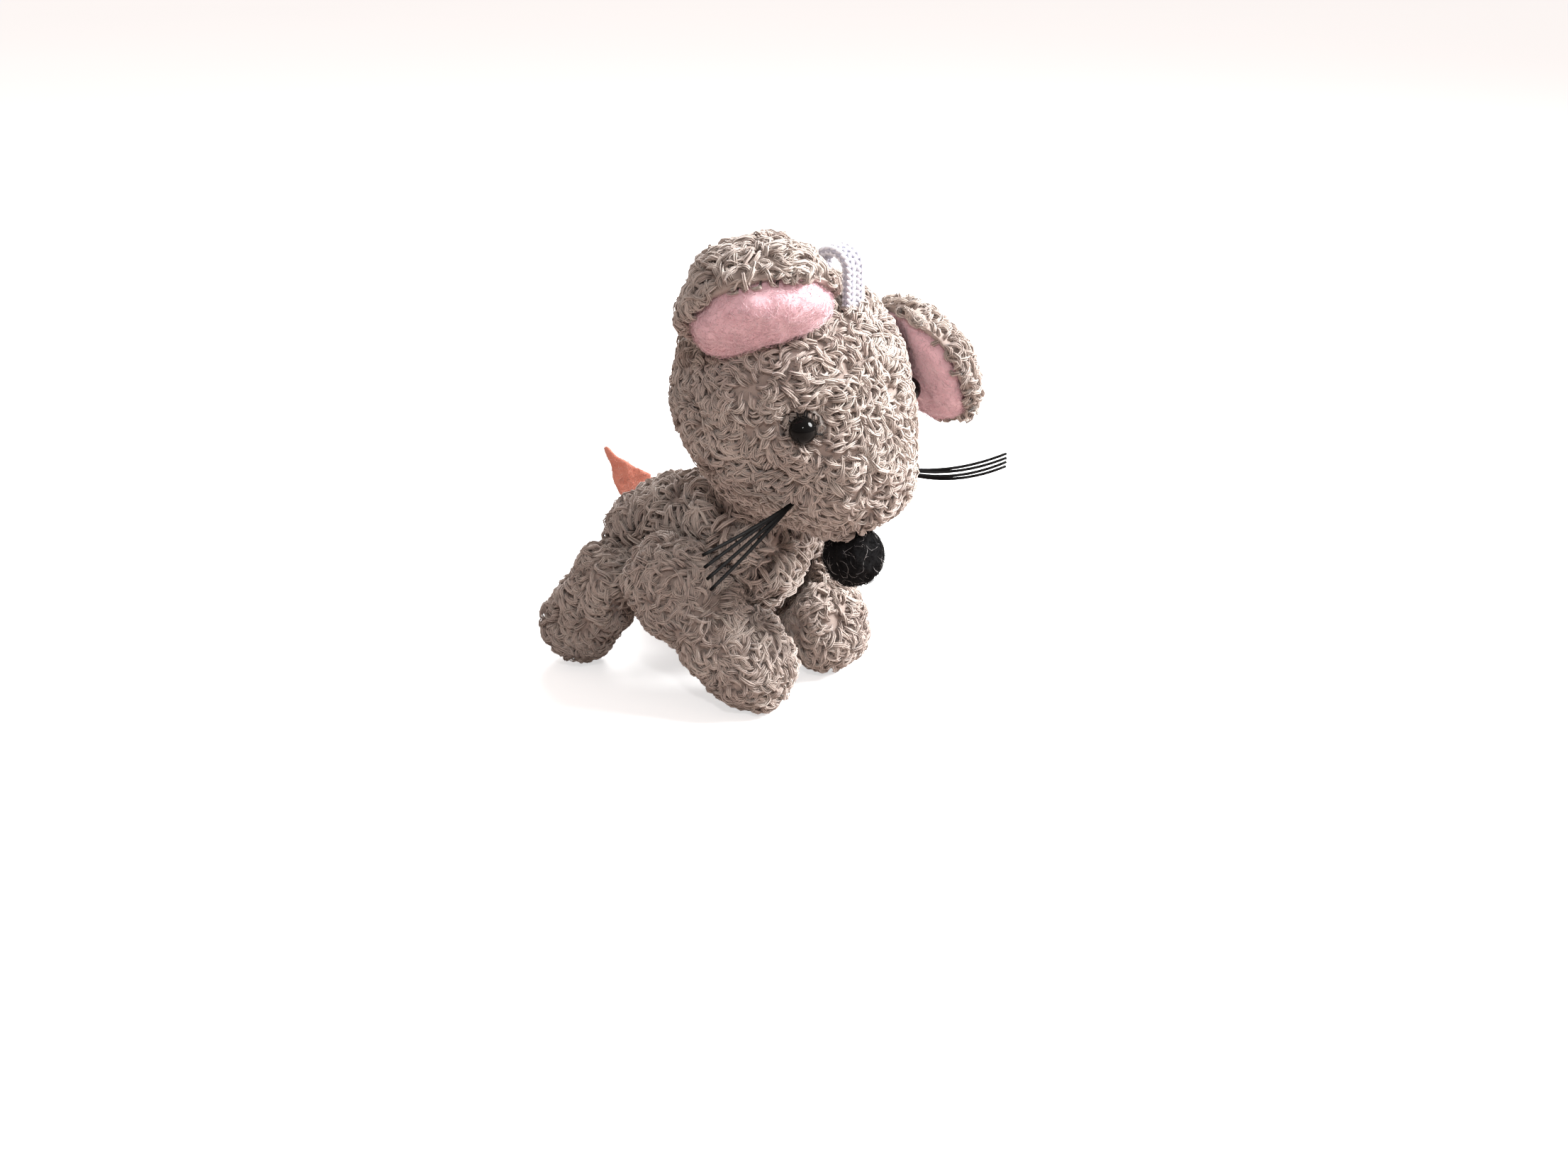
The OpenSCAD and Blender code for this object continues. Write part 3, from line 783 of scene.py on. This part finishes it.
def tape_line():
    """Middle line of the hang loop's tape from foot to foot, with its outward way."""
    low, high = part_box("hang_loop")
    outer = (high.y - low.y) / 2
    radius = outer - TAPE_THICKNESS / 2
    centre = np.array([(low.x + high.x) / 2, (low.y + high.y) / 2, high.z - outer])
    leg = high.z - low.z - outer
    arc = math.pi * radius
    total = 2 * leg + arc
    count = int(total / STITCH_ROW)
    points, outward = [], []
    for k in range(count + 1):
        d = total * k / count
        if d < leg:
            y, z, way = -radius, d - leg, (0, -1, 0)
        elif d > leg + arc:
            y, z, way = radius, leg + arc - d, (0, 1, 0)
        else:
            angle = (d - leg) / radius
            y, z = -radius * math.cos(angle), radius * math.sin(angle)
            way = (0, -math.cos(angle), math.sin(angle))
        points.append(centre + np.array([0, y, z]))
        outward.append(way)
    return np.array(points), np.array(outward, float), high.x - low.x


def make_loop():
    """Knitted tape: two columns of V stitches on each face, on a thin backing darkened as painted shade
    between the stitches.
    """
    line, outward, width = tape_line()
    along = unit(np.gradient(line, axis=0))
    across = np.array([1.0, 0, 0])
    column = width / 4
    paths, ways = [], []
    for k in range(len(line) - 1):
        for face in (1, -1):
            for middle in (-1, 1):
                for arm in (-1, 1):
                    foot = line[k] - along[k] * STITCH_ROW * 0.45
                    s = np.linspace(0, 1, 6)[:, None]
                    x = column * (middle + arm * (0.12 + 0.74 * s))
                    y = STITCH_ROW * 1.25 * s
                    rise = TAPE_THICKNESS * (0.24 + 0.2 * np.sin(math.pi * s))
                    paths.append(foot + across * x + along[k] * y + outward[k] * face * rise)
                    ways.append(np.broadcast_to(outward[k] * face, (6, 3)))
    paths, ways = np.array(paths), np.array(ways)
    s = np.linspace(0, 1, 6)
    radii = np.repeat((0.31 * MM * (0.75 + 0.35 * np.sin(math.pi * s)))[None], len(paths), 0)
    uv = np.zeros(paths.shape[:2] + (2,))
    points, triangles, _ = strands(paths, ways, radii, uv, sides=8)
    knit_mesh = mesh_from("hang_loop_knit", points, triangles)
    knit = piece("hang_loop_knit", knit_mesh, "head", TAPE)
    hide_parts("hang_loop")
    half = TAPE_THICKNESS * 0.22
    corners = [(-1, -1), (1, -1), (1, 1), (-1, 1)]
    rings = np.stack([line + across * (width / 2 * 0.93) * x + outward * half * z for x, z in corners], 1)
    index = np.arange(len(line) * 4).reshape(-1, 4)
    a, b = index[:-1], index[1:]
    walls = np.stack([a, np.roll(a, -1, 1), np.roll(b, -1, 1), b], -1).reshape(-1, 4)
    ends = np.array([index[0][::-1], index[-1]])
    faces = np.concatenate([walls, ends])
    backing_mesh = mesh_from("backing", rings.reshape(-1, 3), faces)
    # The backing shows between the stitches as painted shade
    piece("hang_loop_backing_shade", backing_mesh, "head", TAPE_CORE_SHADE)


# ---- Tail ----
def make_tail():
    """Felt strip that twists a little towards its tip."""
    surface = remeshed("tail_strip", 0.3 * MM).smooth(3)
    swing = next(j for j in frame["joints"] if j["name"] == "tail_swing")
    root = np.array(swing["pos_m"])
    axis = unit(np.array(swing["axis"]))
    reach = surface.points - root
    tip = surface.points[np.linalg.norm(reach, axis=1).argmax()]
    way = unit(tip - root)
    face = unit(np.cross(axis, way))
    share = np.clip(reach @ way / np.linalg.norm(tip - root), 0, 1)
    sway = reach @ axis
    surface.points += face * (1.1 * MM * share ** 2 + sway * 0.55 * share)[:, None]
    surface.swell(0.06 * MM * waves(surface.points, 2.5 * MM, 61)[:, 0])
    strip_mesh = mesh_from("tail", surface.points, surface.triangles)
    strip = piece("tail_strip_felt", strip_mesh, "tail", CORAL)
    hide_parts("tail_strip")
    hair = fibres(surface, 6 / MM ** 2, 62, 1.2 * MM, 0.03 * MM, 0.3 * MM)
    piece("tail_strip_fibres", mesh_from("tail_fibres", *hair), "tail", CORAL_HAIR)


# ---- Hidden pieces ----
def dress_hidden_nodes():
    finishes = {
        "eye_thread": BLACK_THREAD, "nose_thread": BLACK_THREAD,
        "shoulder_thread": THREAD, "hip_thread": THREAD, "tail_stitch": CORAL,
    }
    for name, finish in finishes.items():
        NODES[name].data.materials.clear()
        NODES[name].data.materials.append(finish)


# ---- Studio ----
def aim(obj, target):
    obj.rotation_mode = "QUATERNION"
    obj.rotation_quaternion = (Vector(target) - obj.location).to_track_quat("-Z", "Y")


def make_camera():
    data = bpy.data.cameras.new("camera")
    camera = bpy.data.objects.new("camera", data)
    bpy.context.scene.collection.objects.link(camera)
    azimuth, pitch = math.radians(-52), math.radians(21.7)
    level = math.cos(pitch)
    back = Vector((math.sin(azimuth) * level, -math.cos(azimuth) * level, math.sin(pitch)))
    camera.location = (-0.2213, -0.1829, 0.1312)
    camera.rotation_mode = "QUATERNION"
    camera.rotation_quaternion = (-back).to_track_quat("-Z", "Y")
    data.sensor_width = 36
    data.lens = 40.5
    data.clip_start, data.clip_end = 0.01, 10
    bpy.context.scene.camera = camera


def add_light(name, place, size, power, target=(0, 0, 0.04), colour=(1, 1, 1)):
    data = bpy.data.lights.new(name, "AREA")
    data.shape = "DISK"
    data.size = size
    data.energy = power
    data.color = colour
    light = bpy.data.objects.new(name, data)
    bpy.context.scene.collection.objects.link(light)
    light.location = place
    aim(light, target)


def seen_or_bounced(tree, seen, bounced, output):
    """One shader for what the camera sees and another for the light that it gives the mouse."""
    path = tree.nodes.new("ShaderNodeLightPath")
    mix = tree.nodes.new("ShaderNodeMixShader")
    tree.links.new(path.outputs["Is Camera Ray"], mix.inputs[0])
    tree.links.new(bounced.outputs[0], mix.inputs[1])
    tree.links.new(seen.outputs[0], mix.inputs[2])
    tree.links.new(mix.outputs[0], output.inputs["Surface"])


def make_studio():
    """White backdrop, dim warm surroundings and a large light from the right."""
    floor_material, tree, shader = material("pale floor")
    grain = node(tree, "ShaderNodeTexNoise", Scale=60.0, Detail=4.0)
    tone = ramp(tree, [(0.3, (0.88, 0.88, 0.88)), (0.7, (0.92, 0.92, 0.92))])
    tree.links.new(grain.outputs[0], tone.inputs[0])
    tree.links.new(tone.outputs[0], shader.inputs["Base Color"])
    shader.inputs["Roughness"].default_value = 0.9
    shader.inputs["Specular IOR Level"].default_value = 0
    shader.inputs["Emission Color"].default_value = (1, 1, 1, 1)
    shader.inputs["Emission Strength"].default_value = 0.6
    bounce = tree.nodes.new("ShaderNodeBsdfDiffuse")
    bounce.inputs["Color"].default_value = (0.42, 0.35, 0.32, 1)
    seen_or_bounced(tree, shader, bounce, tree.nodes["Material Output"])
    bpy.ops.mesh.primitive_plane_add(size=60, location=(0, 0, 0))
    floor = bpy.context.object
    floor.name = "floor"
    floor.data.materials.append(floor_material)
    world = bpy.data.worlds.new("studio")
    bpy.context.scene.world = world
    world.use_nodes = True
    tree = world.node_tree
    seen = tree.nodes["Background"]
    seen.inputs[0].default_value = (1, 1, 1, 1)
    seen.inputs[1].default_value = 1.0
    dim = tree.nodes.new("ShaderNodeBackground")
    dim.inputs[0].default_value = (1, 0.85, 0.79, 1)
    dim.inputs[1].default_value = 0.42
    seen_or_bounced(tree, seen, dim, tree.nodes["World Output"])
    add_light("key", (0.27, -0.36, 0.40), 0.3, 9)
    add_light("rim", (0.35, 0.25, 0.35), 0.3, 2.4)
    add_light("spark", (-0.30, -0.26, 0.34), 0.035, 0.45)
    bpy.context.scene.view_settings.view_transform = "Standard"


make_camera()
make_studio()
make_head()
make_trunk()
make_neck()
make_leg("front_leg_right", 51)
make_leg("front_leg_left", 53)
make_leg("hind_leg_right", 55)
make_leg("hind_leg_left", 57)
make_ear("right", 1.9 * MM, 71)
make_ear("left", 0.8 * MM, 81)
make_nose()
make_eye("right", 91)
make_eye("left", 93)
make_whiskers("right", (1.6, 0.4, -0.4, 1.2), 1.0, 0.33 * MM, 95)
make_whiskers("left", (9.4, 8.6, 7.6, 6.8), 0.75, 0.3 * MM, 97)
make_loop()
make_tail()
dress_hidden_nodes()
